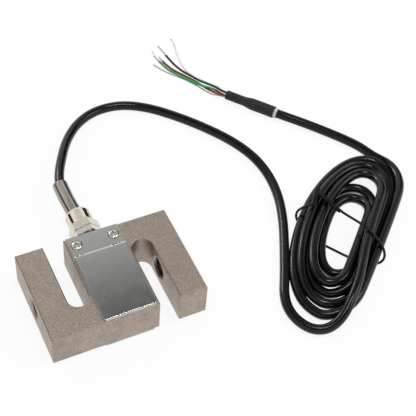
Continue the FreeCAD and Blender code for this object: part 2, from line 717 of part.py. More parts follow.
# ------------------------------------------------- the boot and its wires
def make_boot():
    """Heat-shrink over the end of the jacket and the roots of the wires."""
    body = new_body("shrink_boot")
    body.Placement = FreeCAD.Placement(
        vec(*BOOT_START), FreeCAD.Rotation(vec(0, 0, 1), BOOT_YAW))
    bore = "cable_radius + boot_gap"
    profile = new_sketch(body, "XZ_Plane", "boot_profile")
    outline(profile, [
        ("0", bore), ("0", "boot_fat - 0.3"), ("0.3", "boot_fat"),
        ("boot_fat_length", "boot_fat"), ("boot_fat_length + boot_taper", "boot_thin"),
        ("boot_fat_length + boot_taper + boot_thin_length", "boot_thin"),
        ("boot_fat_length + boot_taper + boot_thin_length", "0"),
        ("boot_bore_depth", "0"), ("boot_bore_depth", bore)])
    turn(body, profile, "boot_turned")

    band = new_body("jacket_band")
    band.Placement = FreeCAD.Placement(
        boot_point(-size("band_length")), FreeCAD.Rotation(vec(0, 0, 1), BOOT_YAW))
    section = new_sketch(band, "XZ_Plane", "band_profile")
    outline(section, [("0", bore), ("0", bore + " + band_thick"),
                      ("band_length", bore + " + band_thick"), ("band_length", bore)])
    turn(band, section, "band_turned")
    return body, band


# Each conductor: the side and height it leaves the boot at, how far it runs
# straight, its route, and where its bare tip ends.
WIRES = {
    "wire_red": ((1.45, 0.2), 3.0, [
        (105.6, 107.6, 1.4), (103.4, 112.4, 0.7), (101.0, 117.7, 0.7), (98.2, 123.0, 0.7),
        (94.6, 128.6, 0.7), (91.5, 133.8, 0.7), (89.7, 138.6, 0.7), (88.9, 142.6, 0.7)],
        (88.4, 147.0, 0.6)),
    "wire_green": ((-0.5, -1.4), 3.0, [
        (106.9, 108.3, 2.1), (103.7, 111.8, 2.45), (100.2, 115.6, 1.75), (97.0, 120.9, 1.6),
        (94.2, 125.4, 1.55), (91.2, 130.2, 1.2), (88.9, 135.1, 0.7), (87.8, 139.6, 0.7),
        (87.0, 143.2, 0.7)], (86.5, 152.3, 0.6)),
    "wire_black": ((0.0, 1.45), 3.0, [
        (106.3, 109.5, 4.2), (103.8, 114.2, 3.1), (100.9, 119.2, 2.25), (98.7, 123.9, 2.1),
        (96.4, 129.6, 1.0), (94.4, 135.8, 0.7), (93.3, 141.6, 0.7), (92.7, 146.5, 0.7)],
        (91.6, 155.6, 0.6)),
    "wire_white": ((-1.5, 0.2), 3.2, [
        (110.1, 108.9, 2.0), (109.5, 112.2, 0.8), (107.2, 115.2, 0.7), (104.5, 118.6, 0.7),
        (101.4, 122.5, 0.7), (99.1, 127.4, 0.7), (98.1, 132.8, 0.7), (98.2, 138.4, 0.7),
        (98.9, 143.8, 0.7), (99.9, 148.8, 0.7)], (101.1, 158.3, 0.6)),
}
DRAIN_START = ((0.75, -1.5), 3.0)
DRAIN_ROUTE = [
    (103.9, 107.6, 0.5), (101.7, 111.6, 0.45), (99.9, 115.4, 0.45), (96.9, 120.8, 0.45),
    (94.0, 125.2, 0.45), (91.3, 128.6, 0.45), (88.2, 132.4, 0.45), (85.2, 136.9, 0.45),
    (83.0, 141.9, 0.45),
]


def conductor_points(start, straight, route):
    """The route from the boot's end face, leaving it square."""
    length = size("boot_fat_length + boot_taper + boot_thin_length")
    root = [boot_point(length, *start), boot_point(length + straight, *start)]
    return root + [vec(*p) for p in route]


def make_wires():
    """Four coloured conductors with tinned tips, and the bare drain wire."""
    tips = []
    for name, (start, straight, route, tip) in WIRES.items():
        points = conductor_points(start, straight, route)
        make_tube(name, points, size("wire_radius"))
        tips.append(tip_shape(points[-2], points[-1], vec(*tip)))
    group = doc.addObject("Part::Feature", "tinned_tips")
    group.Label = "tinned_tips"
    group.Shape = Part.Compound(tips)
    make_tube("drain_wire", conductor_points(*DRAIN_START, DRAIN_ROUTE), size("drain_radius"))


def tip_shape(before, start, end):
    """Bare strands that carry on square from the insulation, then bend to end."""
    way = FreeCAD.Vector(start - before).normalize()
    bend = start + way * ((end - start).Length * 0.45)
    path, radii = rounded_path([start, bend, end])
    section = Part.Wire([Part.Circle(start, way, size("tip_radius")).toShape()])
    shape = path.makePipeShell([section], True, False)
    return shape if shape.ShapeType == "Solid" else shape.Solids[0]


# ------------------------------------------------------------ build it all
make_body()
make_cover("upper_cover", "cover_rise + body_thick")
make_cover("lower_cover", "cover_rise")
doc.getObject("lower_cover").Placement.Rotation = FreeCAD.Rotation(vec(0, 1, 0), 180)
make_screws()
upper_gauge, lower_gauge = make_gauges()
board, trims, bundle = make_electrics()
make_sealant("upper_sealant", MIDDLE + " + web_thick / 2", [upper_gauge, board, trims, bundle])
make_sealant("lower_sealant", "cover_rise + sealant_drop", [lower_gauge])
make_gland()
make_sleeve()
make_cable()
make_hank()
make_tail()
make_tie()
make_boot()
make_wires()
doc.recompute()

NODES = [
    "s_body", "upper_cover", "lower_cover", "cover_screws", "upper_strain_gauge",
    "lower_strain_gauge", "bridge_terminal_board", "balance_resistors", "bridge_leads",
    "upper_sealant", "lower_sealant", "gland_washer", "gland_body", "gland_seal",
    "gland_thrust_ring", "gland_nut", "cable_sleeve", "cable_lead", "cable_hank",
    "cable_tail", "twist_tie", "jacket_band", "shrink_boot", "wire_red", "wire_green",
    "wire_black", "wire_white", "tinned_tips", "drain_wire",
]

for obj in doc.Objects:
    if "Invalid" in obj.State or "Error" in obj.State:
        raise RuntimeError("%s did not build: %s" % (obj.Name, obj.State))
for node in NODES:
    shape = doc.getObject(node).Shape
    if shape.isNull() or not shape.isValid() or not shape.Solids:
        raise RuntimeError("%s has no valid solid" % node)

os.makedirs("parts", exist_ok=True)
for node in NODES:
    doc.getObject(node).Shape.exportStep("parts/%s.step" % node)
print("%d nodes written" % len(NODES))
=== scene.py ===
# %% [markdown]
# # An S-type load cell and its tied cable
#
# The real object is a steel block slotted into an S, which bends a little
# when the two rods screwed into its ends are pulled.  A pressed cover hides
# the strain gauges, and a thin cable carries their signal out through a
# gland.  The block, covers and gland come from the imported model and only
# get their finishes here.  The cable, its wires and the tie are drawn here
# as smooth curves, because soft things need softer lines than solids give.

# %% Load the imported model
import math

import bmesh
import bpy
from mathutils import Matrix, Quaternion, Vector


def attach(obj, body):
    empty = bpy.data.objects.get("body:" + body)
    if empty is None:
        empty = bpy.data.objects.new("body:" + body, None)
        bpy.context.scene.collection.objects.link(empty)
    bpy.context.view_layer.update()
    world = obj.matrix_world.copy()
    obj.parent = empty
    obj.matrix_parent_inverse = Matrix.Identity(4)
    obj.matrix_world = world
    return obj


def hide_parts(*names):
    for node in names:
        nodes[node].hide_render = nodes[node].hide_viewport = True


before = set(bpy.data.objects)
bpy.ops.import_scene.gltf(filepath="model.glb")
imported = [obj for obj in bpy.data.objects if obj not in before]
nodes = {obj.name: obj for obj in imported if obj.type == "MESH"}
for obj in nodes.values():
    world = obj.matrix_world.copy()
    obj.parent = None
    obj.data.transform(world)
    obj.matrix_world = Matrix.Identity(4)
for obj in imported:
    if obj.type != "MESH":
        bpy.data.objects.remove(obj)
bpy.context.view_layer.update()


def mm(x, y, z):
    """A point given in millimetres, as Blender's metres."""
    return Vector((x, y, z)) / 1000


# %% [markdown]
# ## Camera
#
# A camera can be placed by eye or by numbers.  Numbers are used here: where
# it stands, the point of the table in the middle of its picture, and how far
# it leans.  A quaternion from `to_track_quat` aims it, and a small turn about
# its own axis adds the lean.

# %% Camera
CAMERA_PLACE = mm(-109.2, -281.6, 427.7)
CAMERA_AIM = mm(66.76, 32.80, 0)
CAMERA_LEAN = 5.5           # degrees
CAMERA_LENS = 93.8          # mm, in front of a sensor 36 mm wide
NEAREST, FARTHEST = 0.01, 10        # m

camera = bpy.data.objects.new("camera", bpy.data.cameras.new("camera"))
bpy.context.scene.collection.objects.link(camera)
camera.data.sensor_width = 36
camera.data.lens = CAMERA_LENS
camera.data.clip_start, camera.data.clip_end = NEAREST, FARTHEST
camera.rotation_mode = "QUATERNION"
camera.location = CAMERA_PLACE
aim = (CAMERA_AIM - CAMERA_PLACE).to_track_quat("-Z", "Y")
camera.rotation_quaternion = aim @ Quaternion((0, 0, 1), math.radians(CAMERA_LEAN))
bpy.context.scene.camera = camera
print("camera stands", round((CAMERA_AIM - CAMERA_PLACE).length, 3), "m away")

# %% [markdown]
# ## Two helpers for materials
#
# Colours are written as the hex values a painter or a web page uses, which
# are sRGB.  Blender's shaders work in linear light, so one function turns
# them.  A second one adds a node with its settings and links, so that each
# recipe below reads as a short list from the pattern to the surface.


# %% Colour and node helpers
def linear(code):
    """An sRGB hex colour such as B0A090 as linear RGBA."""
    parts = [int(code[i:i + 2], 16) / 255 for i in (0, 2, 4)]
    return [p / 12.92 if p < 0.04045 else ((p + 0.055) / 1.055) ** 2.4 for p in parts] + [1.0]


def add_node(material, kind, sockets=None, **settings):
    """A new node: settings are its own properties, sockets its inputs."""
    tree = material.node_tree
    made = tree.nodes.new(kind)
    for name, value in settings.items():
        setattr(made, name, value)
    for name, value in (sockets or {}).items():
        if isinstance(value, bpy.types.NodeSocket):
            tree.links.new(value, made.inputs[name])
        else:
            made.inputs[name].default_value = value
    return made


def new_material(name):
    """A material with no nodes yet, ready for a recipe."""
    material = bpy.data.materials.new(name)
    material.use_nodes = True
    material.node_tree.nodes.clear()
    return material


print("a mid grey, 808080, is", round(linear("808080")[0], 3), "in linear light")

# %% [markdown]
# ## Bead-blasted, nickel-plated steel
#
# The block is milled from alloy steel, blasted with fine beads and plated
# with nickel.  Blasting leaves tiny dents that spread every reflection, so
# the metal looks soft, warm and a little sparkling, with broad faint clouds
# where the blast was stronger.  A texture picture could show that.  Two
# noises on object coordinates do it without a seam: a fine one for the
# dents, which also tilts the surface, and a broad one for the clouds.


# %% Blasted steel
DENT = 0.5              # mm; real dents are near 0.1 mm, drawn coarser so that they show
DENT_DEPTH = 0.04       # mm, how far the dents tilt the surface
CLOUD = 7.0             # mm across a cloud of stronger blasting
CLOUD_SHARE = 0.35      # how much the clouds count against the dents in the colour


def blasted_plate(name, dark, light, rough_low, rough_high):
    """Blasted metal between two colours, lighter and smoother in its clouds."""
    material = new_material(name)
    place = add_node(material, "ShaderNodeTexCoord")
    dents = add_node(material, "ShaderNodeTexNoise", {
        "Vector": place.outputs["Object"], "Scale": 1000 / DENT, "Detail": 1.0})
    clouds = add_node(material, "ShaderNodeTexNoise", {
        "Vector": place.outputs["Object"], "Scale": 1000 / CLOUD, "Detail": 5.0,
        "Roughness": 0.62})
    blend = add_node(material, "ShaderNodeMath", {
        0: clouds.outputs["Fac"], 1: CLOUD_SHARE, 2: dents.outputs["Fac"]}, operation="MULTIPLY_ADD")
    tone = add_node(material, "ShaderNodeMapRange", {
        "Value": blend.outputs["Value"], "From Min": 0.42, "From Max": 0.93})
    colour = add_node(material, "ShaderNodeMix", {
        0: tone.outputs["Result"], 6: linear(dark), 7: linear(light)}, data_type="RGBA")
    rough = add_node(material, "ShaderNodeMapRange", {
        "Value": clouds.outputs["Fac"], "From Min": 0.3, "From Max": 0.7,
        "To Min": rough_high, "To Max": rough_low})
    relief = add_node(material, "ShaderNodeBump", {
        "Height": dents.outputs["Fac"], "Strength": 1.0, "Distance": DENT_DEPTH / 1000})
    shader = add_node(material, "ShaderNodeBsdfPrincipled", {
        "Base Color": colour.outputs[2], "Metallic": 1.0,
        "Roughness": rough.outputs["Result"], "Normal": relief.outputs["Normal"]})
    add_node(material, "ShaderNodeOutputMaterial", {"Surface": shader.outputs["BSDF"]})
    print(name, "nodes", len(material.node_tree.nodes))
    return material


# Nickel over blasted alloy steel: a soft, warm grey with a fine sparkle.
blasted_nickel = blasted_plate("blasted_nickel_plate", "8B7D72", "C2B3A7", 0.40, 0.50)

# %% [markdown]
# ## Bright metals
#
# The cover is thin stainless sheet with a bright rolled finish, the screws
# and the gland are bright nickel plate, and the sleeve is drawn stainless
# tube.  All are nearly mirrors, so their look comes from what they reflect;
# the finish only adds the fine lines of rolling or drawing and faint
# smudges that make the mirror a little duller in places.  One recipe with
# a different stretch for its lines serves them all.


# %% Bright metals
SMUDGE = 5.0    # mm across a smudge


def bright_metal(name, dark, light, rough_low, rough_high, line, stretch, wave):
    """Lines are this many mm apart; wave is how far the sheet bows, in mm."""
    material = new_material(name)
    place = add_node(material, "ShaderNodeTexCoord")
    along = add_node(material, "ShaderNodeMapping", {
        "Vector": place.outputs["Object"], "Scale": stretch})
    lines = add_node(material, "ShaderNodeTexNoise", {
        "Vector": along.outputs["Vector"], "Scale": 1000 / line, "Detail": 2.0})
    smudges = add_node(material, "ShaderNodeTexNoise", {
        "Vector": place.outputs["Object"], "Scale": 1000 / SMUDGE, "Detail": 3.0})
    tone = add_node(material, "ShaderNodeMapRange", {
        "Value": lines.outputs["Fac"], "From Min": 0.3, "From Max": 0.7})
    colour = add_node(material, "ShaderNodeMix", {
        0: tone.outputs["Result"], 6: linear(dark), 7: linear(light)}, data_type="RGBA")
    rough = add_node(material, "ShaderNodeMapRange", {
        "Value": smudges.outputs["Fac"], "From Min": 0.35, "From Max": 0.65,
        "To Min": rough_low, "To Max": rough_high})
    relief = add_node(material, "ShaderNodeBump", {
        "Height": smudges.outputs["Fac"], "Strength": 1.0, "Distance": wave / 1000})
    shader = add_node(material, "ShaderNodeBsdfPrincipled", {
        "Base Color": colour.outputs[2], "Metallic": 1.0,
        "Roughness": rough.outputs["Result"], "Normal": relief.outputs["Normal"]})
    add_node(material, "ShaderNodeOutputMaterial", {"Surface": shader.outputs["BSDF"]})
    return material


# The real lines of rolling, turning and drawing are near 0.05 mm apart.  They
# are drawn 0.3 to 0.8 mm apart, so that they still show as faint streaks.

# Stainless sheet with a bright rolled finish: a slightly wavy, cool mirror.
rolled_stainless = bright_metal("bright_rolled_stainless", "B9B9B7", "BEBEBC", 0.09, 0.14,
                                line=0.8, stretch=(1, 0.1, 1), wave=0.012)
# Bright nickel on small steel screws: paler than the cover, and a bit duller.
nickel_screw = bright_metal("bright_nickel_screw", "DAD4CA", "E8E3DA", 0.12, 0.20,
                            line=0.5, stretch=(1, 1, 1), wave=0.01)
# Bright nickel on turned brass: a warm mirror, dark and light by turns.
gland_nickel = bright_metal("bright_nickel_on_brass", "D6CEC1", "E4DDD1", 0.07, 0.12,
                            line=0.6, stretch=(1, 0.3, 1), wave=0.01)
# Drawn stainless tube: darker, with long streaks of light along it.
sleeve_stainless = bright_metal("drawn_stainless_tube", "8E8880", "B2ACA4", 0.16, 0.24,
                                line=0.5, stretch=(1, 0.06, 1), wave=0.01)
# Tin dipped over copper strands: soft silver, uneven from strand to strand.
tinned_copper = bright_metal("tinned_copper_strands", "A8A6A2", "CFCDC8", 0.25, 0.40,
                             line=0.3, stretch=(1, 1, 1), wave=0.05)
print("bright metals made")

# %% [markdown]
# ## Plastics and rubber
#
# The cable's jacket is soft black PVC, extruded through a die: smooth, with
# thin bright lines where it turns towards a lamp.  Each wire has the same
# PVC in its own colour, and the shrink boot is duller.  A faint broad relief
# keeps the highlights from being ruler-straight, as on a real extrusion.


# %% Plastics and rubber
def soft_plastic(name, dark, light, rough_low, rough_high, ripple=2.5, depth=0.02, gloss=0.5):
    """Ripples are this many mm long; gloss is the shader's specular level."""
    material = new_material(name)
    place = add_node(material, "ShaderNodeTexCoord")
    ripples = add_node(material, "ShaderNodeTexNoise", {
        "Vector": place.outputs["Object"], "Scale": 1000 / ripple, "Detail": 1.0})
    tone = add_node(material, "ShaderNodeMapRange", {
        "Value": ripples.outputs["Fac"], "From Min": 0.35, "From Max": 0.65})
    colour = add_node(material, "ShaderNodeMix", {
        0: tone.outputs["Result"], 6: linear(dark), 7: linear(light)}, data_type="RGBA")
    rough = add_node(material, "ShaderNodeMapRange", {
        "Value": ripples.outputs["Fac"], "From Min": 0.35, "From Max": 0.65,
        "To Min": rough_low, "To Max": rough_high})
    relief = add_node(material, "ShaderNodeBump", {
        "Height": ripples.outputs["Fac"], "Strength": 1.0, "Distance": depth / 1000})
    shader = add_node(material, "ShaderNodeBsdfPrincipled", {
        "Base Color": colour.outputs[2], "Roughness": rough.outputs["Result"],
        "Specular IOR Level": gloss, "Normal": relief.outputs["Normal"]})
    add_node(material, "ShaderNodeOutputMaterial", {"Surface": shader.outputs["BSDF"]})
    return material


# Extruded PVC jacket: near black, with narrow bright lines along the cable.
jacket_pvc = soft_plastic("soft_black_pvc_jacket", "060607", "0B0B0C", 0.19, 0.24,
                          depth=0.004, gloss=0.32)
# Shrunk polyolefin: a dull charcoal, plainly rougher than the jacket.
shrink_tube = soft_plastic("heat_shrink_polyolefin", "1D1C1E", "28272A", 0.42, 0.55,
                           ripple=1.6, depth=0.03, gloss=0.3)
# Clear film wrapped once: a pale, glossy ring.
clear_film = soft_plastic("clear_adhesive_band", "B9B7B4", "D2D0CD", 0.15, 0.25,
                          ripple=1.6, depth=0.01)
# Coloured PVC on the wires: plain strong colours with a satin light.
red_pvc = soft_plastic("dark_red_wire_pvc", "7A1013", "8E181A", 0.30, 0.40)
green_pvc = soft_plastic("green_wire_pvc", "0B8F3C", "13A549", 0.30, 0.40)
black_pvc = soft_plastic("black_wire_pvc", "0E0E0F", "161617", 0.30, 0.40)
white_pvc = soft_plastic("white_wire_pvc", "E2E2E0", "EEEEEC", 0.30, 0.40)
# Vinyl dipped over steel wire: black, a little duller than the jacket.
tie_vinyl = soft_plastic("vinyl_coated_tie_wire", "070708", "0E0E10", 0.28, 0.40,
                         ripple=1.0, depth=0.02, gloss=0.25)
# Moulded nitrile in the gland: matt black.
nitrile = soft_plastic("moulded_nitrile_rubber", "171717", "202020", 0.50, 0.60,
                       ripple=1.0, depth=0.03)
# Poured silicone over the gauges: milky, with a smooth uneven top.
silicone = soft_plastic("cured_silicone", "D8D8D4", "E4E4E0", 0.25, 0.35, depth=0.08)
# Amber film, green board, dark glaze and pale fluoropolymer, all under the covers.
polyimide = soft_plastic("polyimide_gauge_film", "A8651F", "B97428", 0.25, 0.35)
board_epoxy = soft_plastic("green_board_epoxy", "1E5A33", "256B3E", 0.25, 0.35)
resistor_glaze = soft_plastic("resistor_glaze", "19191B", "232325", 0.30, 0.40)
lead_jacket = soft_plastic("fluoropolymer_lead_jacket", "C9C5B8", "D6D2C6", 0.30, 0.40)
print("materials so far", len(bpy.data.materials))

# %% [markdown]
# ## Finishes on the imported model's own pieces
#
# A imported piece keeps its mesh.  Giving it a finish means clearing the list
# of materials on its mesh and putting the new one in.


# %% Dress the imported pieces
def dress(material, *names):
    """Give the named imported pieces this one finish."""
    for name in names:
        mesh = nodes[name].data
        mesh.materials.clear()
        mesh.materials.append(material)


# Freshly cut steel inside the holes, painted dark as their shade so that the holes look deep.
thread_in_painted_shade = blasted_plate("cut_thread_painted_shade", "2E2926", "4B443E", 0.30, 0.42)

dress(blasted_nickel, "s_body")
dress(rolled_stainless, "upper_cover", "lower_cover")
dress(nickel_screw, "cover_screws")
dress(gland_nickel, "gland_washer", "gland_body", "gland_thrust_ring", "gland_nut")
dress(sleeve_stainless, "cable_sleeve")
dress(nitrile, "gland_seal")
dress(silicone, "upper_sealant", "lower_sealant")
dress(polyimide, "upper_strain_gauge", "lower_strain_gauge")
dress(board_epoxy, "bridge_terminal_board")
dress(resistor_glaze, "balance_resistors")
dress(lead_jacket, "bridge_leads")
dress(shrink_tube, "shrink_boot")
dress(clear_film, "jacket_band")
dress(tinned_copper, "tinned_tips", "drain_wire")
print("the block wears", nodes["s_body"].data.materials[0].name)

# %% [markdown]
# ## Threads
#
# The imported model's two holes are plain, at the tap drill's radius.  The
# real ones have an M12 thread with a pitch of 1.75 mm.  A small trapezoid
# turned about the hole's axis while it also moves along it makes the ridge:
# that is what bmesh's spin does when it is given a dvec.

# %% Threads in the two arms
BLOCK_UNDERSIDE, BLOCK_THICKNESS = 1.3, 19.05       # all of these in mm
MIDDLE = BLOCK_UNDERSIDE + BLOCK_THICKNESS / 2      # height of the threads' axis
ARM_WIDTH, BODY_LENGTH = 13.72, 76.2
DRILL_RADIUS, PITCH = 5.1, 1.75
RIDGE_HEIGHT, RIDGE_SUNK = 0.35, 0.05               # into the hole, and into its wall
CREST_HALF, ROOT_HALF = 0.15, PITCH * 0.36          # half the ridge's width, top and foot
STEPS_A_TURN, THREAD_TURNS = 40, 7


def mesh_piece(name, bm, material):
    """The bmesh as a smooth piece of the object that rides with the block."""
    for face in bm.faces:
        face.smooth = True
    mesh = bpy.data.meshes.new(name)
    bm.to_mesh(mesh)
    bm.free()
    mesh.materials.append(material)
    piece = bpy.data.objects.new(name, mesh)
    bpy.context.scene.collection.objects.link(piece)
    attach(piece, "root")
    return piece


def thread_ridge(name, start):
    """A right-handed ridge that starts at this X and winds along +X."""
    bm = bmesh.new()
    foot, crest = DRILL_RADIUS + RIDGE_SUNK, DRILL_RADIUS - RIDGE_HEIGHT
    profile = [(-ROOT_HALF, foot), (-CREST_HALF, crest), (CREST_HALF, crest), (ROOT_HALF, foot)]
    end = bm.faces.new([bm.verts.new(mm(start + along, 0, MIDDLE + radius))
                        for along, radius in profile])
    bmesh.ops.spin(bm, geom=[end], axis=(1, 0, 0), cent=mm(0, 0, MIDDLE),
                   dvec=mm(PITCH / STEPS_A_TURN, 0, 0), angle=2 * math.pi * THREAD_TURNS,
                   steps=STEPS_A_TURN * THREAD_TURNS)
    bmesh.ops.recalc_face_normals(bm, faces=bm.faces)
    # The ridge's dark colour is painted shade for the inside of the hole.
    return mesh_piece(name, bm, thread_in_painted_shade)


arm_middle = BODY_LENGTH / 2 - ARM_WIDTH / 2
for side, name in ((-1, "left_thread"), (1, "right_thread")):
    ridge = thread_ridge(name, side * arm_middle - PITCH * THREAD_TURNS / 2)
    print(name, "faces", len(ridge.data.polygons))

# %% [markdown]
# ## Cable: the loose stretches
#
# The cable is one length of 5 mm PVC: it leaves the gland, lies round in a
# wide bend, turns back sharply, is wound into an oval hank, and ends in the
# boot.  It is drawn as one NURBS curve, whose line runs smoothly past its
# control points the way a springy cable does.  Here are the points of the
# stretches before and after the hank.

# %% Route of the loose stretches, in mm
LEAD = [
    (0.0, 17.0, 10.82), (0.0, 41.3, 10.82), (-1.7, 54.6, 10.82), (-1.0, 70.0, 10.82),
    (7.8, 88.0, 8.4), (15.0, 100.5, 5.2), (24.5, 111.3, 3.2), (37.0, 117.6, 2.5),
    (52.0, 117.0, 2.5), (65.5, 109.3, 2.5), (77.5, 97.2, 2.5), (88.5, 83.6, 2.5),
    (98.0, 69.0, 2.5), (104.0, 54.0, 2.5), (105.4, 38.5, 2.5), (103.0, 23.0, 2.5),
    (97.4, 7.6, 2.5), (89.9, -7.8, 2.5), (82.2, -22.8, 2.5), (76.7, -32.5, 2.5),
    (74.6, -40.8, 2.5), (75.8, -49.0, 2.5), (80.2, -56.0, 2.5), (87.6, -58.9, 3.5),
    (95.6, -56.8, 7.0), (103.0, -50.9, 10.6),
]
TAIL = [
    (163.9, 30.2, 3.0), (160.9, 38.6, 3.0), (156.2, 47.0, 2.5), (149.3, 56.2, 2.5),
    (141.4, 65.8, 2.7), (134.4, 73.2, 3.1),
]
BOOT_START = mm(129.0, 79.2, 3.3)
BOOT_ANGLE = math.radians(129.7)
BOOT_WAY = Vector((math.cos(BOOT_ANGLE), math.sin(BOOT_ANGLE), 0))
print("lead points", len(LEAD), "tail points", len(TAIL))

# %% [markdown]
# ## Cable: the hank
#
# The hank lies askew, so its turns are given along it, across it and up.
# Five turns rest on the table and on each other, and the first strand
# climbs over them all.  Where nothing ties them the turns fan out, so each
# one has its own two ends and sides.  A loop walks a quarter of an ellipse
# from each of those places to the next, and the right side is left to the
# curve.

# %% The hank's turns
HANK_CENTRE = mm(126, -11, 0)
HANK_TURN = Matrix.Rotation(math.radians(42), 4, "Z")
CLIMB = [(-33, -13.9, 11.4), (-22, -12.2, 11.4), (-11, -10.6, 11.4), (0, -9.4, 11.2),
         (11, -8.4, 11)]
FIRST_SIDE = (22, -7.8, 11)
# Each turn: its far end, its left side's widest place, its near end, and
# where its right side starts and stops.  Each place is along, across, up.
TURNS = [
    [(38.4, 4.0, 7.2), (5, 16.6, 6.8), (-38.4, 1.2, 7.1), (-28, -7.2, 7.3), (11, -5.5, 6.2)],
    [(23.4, 4.2, 2.5), (7, 13.6, 2.5), (-28.8, 0.6, 2.5), (-17, -8.8, 2.5), (10, -8.4, 2.5)],
    [(30.6, 4.4, 2.5), (5, 19.2, 2.5), (-41.8, 0.0, 2.5), (-27, -12.0, 6.4), (22, -9.8, 6.8)],
    [(45.4, 4.2, 5.6), (5, 22.0, 6.6), (-48.4, -0.4, 3.2), (-31, -14.4, 2.5), (26, -12.4, 2.5)],
    [(51.0, 4.4, 4.8), (5, 25.6, 2.6), (-54.8, -1.4, 2.5), (-34, -16.9, 6.6), (30, -15.6, 5.8)],
]
LAST_END = (56.2, 3.2, 2.6)


def hank_point(along, across, up):
    """A place in the hank's own directions, as a place on the table."""
    return HANK_CENTRE + HANK_TURN @ mm(along, across, up)


def quarter_turn(first, last, leaves_along, steps=4):
    """Points of a quarter ellipse from one place to just before the other."""
    points = []
    for i in range(steps):
        angle = math.pi / 2 * i / steps
        out, back = math.sin(angle), math.cos(angle)
        if leaves_along:
            along = first[0] + (last[0] - first[0]) * out
            across = last[1] + (first[1] - last[1]) * back
        else:
            along = last[0] + (first[0] - last[0]) * back
            across = first[1] + (last[1] - first[1]) * out
        share = i / steps
        up = first[2] + (last[2] - first[2]) * share * share * (3 - 2 * share)
        points.append(hank_point(along, across, up))
    return points


coil = [hank_point(*point) for point in CLIMB]
side = FIRST_SIDE
for far, left, near, right_start, right_stop in TURNS:
    coil += quarter_turn(side, far, True) + quarter_turn(far, left, False)
    coil += quarter_turn(left, near, True) + quarter_turn(near, right_start, False)
    coil.append(hank_point(*right_start))
    side = right_stop
coil += quarter_turn(side, LAST_END, True)
print("points in the hank", len(coil))

# %% [markdown]
# ## Cable: the curve itself
#
# A NURBS curve with a round bevel is the shortest way to a cable: the line
# is its axis and the bevel its round skin.  Its order is set after its
# points, because before them Blender would leave it at straight runs.  The
# thickness is given at the points and the bevel is 1 m deep, since Blender
# counts a point's own radius in the curve's box.


# %% One smooth curve for a round cord
def cord_curve(name, points, diameter, material, sides=6):
    """A NURBS curve of round section that starts and ends at its end points."""
    curve = bpy.data.curves.new(name, "CURVE")
    curve.dimensions = "3D"
    spline = curve.splines.new("NURBS")
    spline.points.add(len(points) - 1)
    for target, point in zip(spline.points, points):
        target.co = (*point, 1)
        target.radius = diameter / 2
    spline.order_u = 3
    spline.use_endpoint_u = True
    spline.resolution_u = 5
    curve.bevel_depth = 1
    curve.bevel_resolution = sides
    curve.use_fill_caps = True
    curve.materials.append(material)
    piece = bpy.data.objects.new(name, curve)
    bpy.context.scene.collection.objects.link(piece)
    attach(piece, "root")
    return piece


def curve_length(piece):
    """The length of the curve's own line."""
    depth, piece.data.bevel_depth = piece.data.bevel_depth, 0
    line = bpy.data.meshes.new_from_object(piece)
    piece.data.bevel_depth = depth
    length = sum((line.vertices[e.vertices[0]].co - line.vertices[e.vertices[1]].co).length
                 for e in line.edges)
    bpy.data.meshes.remove(line)
    return length


print("cord helpers ready")

# %% The cable
CABLE_DIAMETER = 0.005
BEFORE_BOOT, INSIDE_BOOT = 0.0027, 0.006        # m, where its last two points lie
cable_points = [mm(*p) for p in LEAD] + coil + [mm(*p) for p in TAIL]
cable_points += [BOOT_START - BOOT_WAY * BEFORE_BOOT, BOOT_START + BOOT_WAY * INSIDE_BOOT]
cable = cord_curve("cable", cable_points, CABLE_DIAMETER, jacket_pvc)
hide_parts("cable_lead", "cable_hank", "cable_tail")
cable_length = curve_length(cable)
print("cable length", round(cable_length, 3), "m")

# %% [markdown]
# ## The tie
#
# A vinyl-coated wire holds the hank.  It runs under the turns on the table,
# comes up at both sides, and its two ends are wrung together on the left
# side; one thicker loose end lies across the turns.  Two twisted strands could
# be modelled as meshes.  Round curves are shorter and look the same: each
# strand of the wrung part is a point that walks round a line while moving
# along it.

# %% The tie's loop and its loose end
TIE_DIAMETER, LOOSE_END_DIAMETER = 0.0013, 0.0021
TIE_LOOP = [
    (119.6, 14.6, 10.6), (121.6, 8.6, 10.8), (122.6, 3.0, 10.6), (124.4, -3.6, 10.9),
    (126.2, -10.0, 12.6), (128.2, -18.4, 15.0), (129.6, -22.2, 14.4), (132.2, -26.0, 10.8),
    (133.4, -30.4, 8.4), (132.8, -33.6, 4.6), (129.6, -33.2, 1.0), (123.2, -28.6, 0.7),
    (117.7, -22.6, 0.7), (114.0, -17.0, 0.7), (110.6, -12.0, 0.7), (106.8, -4.1, 0.7),
    (105.6, 3.4, 0.7), (105.2, 8.8, 1.4), (105.9, 9.9, 5.4), (109.2, 8.4, 9.6),
    (113.5, 6.8, 10.8),
]
TIE_END = [
    (118.2, 12.8, 11.4), (119.8, 10.2, 11.3), (121.0, 6.2, 11.2), (122.4, 1.2, 10.8),
    (123.8, -2.4, 10.7),
]


def tie_strand(name, points, thickness=TIE_DIAMETER):
    """One strand of the coated wire."""
    strand = cord_curve(name, points, thickness, tie_vinyl, 3)
    return strand


tie_loop = tie_strand("tie_loop", [mm(*p) for p in TIE_LOOP])
tie_end = tie_strand("tie_end", [mm(*p) for p in TIE_END], LOOSE_END_DIAMETER)
print("tie loop", round(1000 * curve_length(tie_loop), 1), "mm")

# %% The wrung part of the tie
WRUNG_START, WRUNG_END = mm(112.8, 6.4, 10.9), mm(120.4, 15.4, 11.2)
WRUNG_TURNS, WRUNG_RADIUS, WRUNG_STEPS = 3.5, 0.0008, 42
way = (WRUNG_END - WRUNG_START).normalized()
beside = way.cross(Vector((0, 0, 1))).normalized()
above = beside.cross(way)


